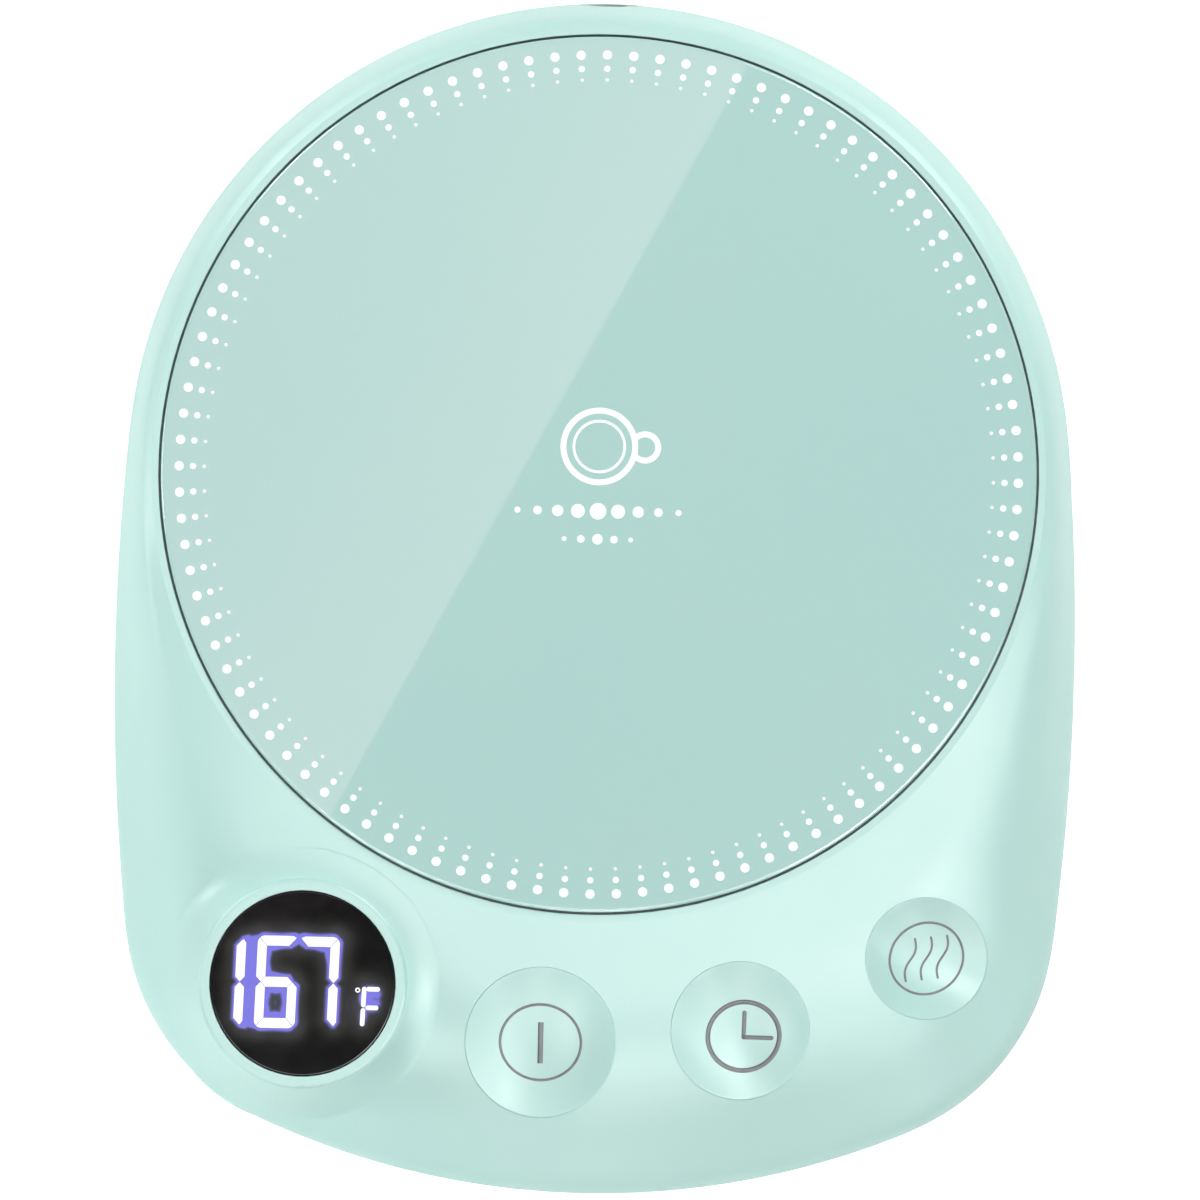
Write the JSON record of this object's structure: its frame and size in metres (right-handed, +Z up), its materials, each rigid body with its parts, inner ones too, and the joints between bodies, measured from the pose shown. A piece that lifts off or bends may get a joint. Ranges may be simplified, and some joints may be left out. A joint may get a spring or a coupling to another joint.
{
  "type": "electric mug warmer",
  "caption": "Low desk-top mug warmer with a round glass hot plate, a sloping front deck, a round digital display and dished push buttons.",
  "frame": {"origin": "on the table under the middle of the warmer's plan", "axes": "+X to the right, +Y to the rear where the cord leaves, +Z up"},
  "size_m": [0.11, 0.1364, 0.024],
  "materials": {
    "shell_plastic": "pale mint moulded plastic with a soft sheen",
    "printed_glass": "clear toughened glass, back-printed pale green, with a white dot ring",
    "dark_silicone": "dark silicone rubber",
    "aluminium": "plain rolled aluminium",
    "mica": "laminated mica sheet",
    "ceramic_fibre": "felted white ceramic fibre",
    "steel": "zinc-plated steel",
    "smoked_window": "polished smoked window with lit digits behind it",
    "white_plastic": "white nylon",
    "circuit_board": "green solder mask",
    "brass": "gold-flashed brass",
    "black_plastic": "black moulded plastic",
    "cable_sleeve": "white heat-proof sleeve",
    "foot_rubber": "pale grey anti-slip rubber"
  },
  "bodies": {
    "root": {"top_shell": "shell_plastic", "bottom_cover": "shell_plastic", "glass_plate": "printed_glass", "plate_seal": "dark_silicone", "heat_spreader": "aluminium", "heating_element": "mica", "insulation_pad": "ceramic_fibre", "heater_bracket": "steel", "bracket_screws": "steel", "temperature_sensor": "aluminium", "thermal_fuse": "steel", "fuse_clip": "steel", "display_lens": "smoked_window", "display_module": "white_plastic", "display_board": "circuit_board", "display_stand": "white_plastic", "display_pins": "brass", "display_screws": "steel", "power_switch": "black_plastic", "timer_switch": "black_plastic", "heat_switch": "black_plastic", "control_board": "circuit_board", "control_board_screws": "steel", "power_board": "circuit_board", "power_board_screws": "steel", "terminal_block": "white_plastic", "mains_terminal": "white_plastic", "film_capacitor": "white_plastic", "triac": "black_plastic", "mains_fuse": "white_plastic", "smoothing_capacitor": "aluminium", "power_header": "white_plastic", "control_header": "white_plastic", "link_cable": "cable_sleeve", "control_chip": "black_plastic", "heater_wires": "cable_sleeve", "cover_screws": "steel", "foot_front_left": "foot_rubber", "foot_front_right": "foot_rubber", "foot_rear_left": "foot_rubber", "foot_rear_right": "foot_rubber", "cord_grommet": "foot_rubber", "cord_clamp": "white_plastic", "cord_clamp_screws": "steel"},
    "power_cap": {"power_button": "shell_plastic", "power_plunger": "black_plastic"},
    "timer_cap": {"timer_button": "shell_plastic", "timer_plunger": "black_plastic"},
    "heat_cap": {"heat_button": "shell_plastic", "heat_plunger": "black_plastic"}
  },
  "joints": [
    {"name": "power_press", "type": "slide", "parent": "root", "child": "power_cap", "axis": [0, 0, -1], "range_m": [0, 0.0005], "stiffness_N_per_m": 3000},
    {"name": "timer_press", "type": "slide", "parent": "root", "child": "timer_cap", "axis": [0, 0, -1], "range_m": [0, 0.0005], "stiffness_N_per_m": 3000},
    {"name": "heat_press", "type": "slide", "parent": "root", "child": "heat_cap", "axis": [0, 0, -1], "range_m": [0, 0.0005], "stiffness_N_per_m": 3000}
  ]
}
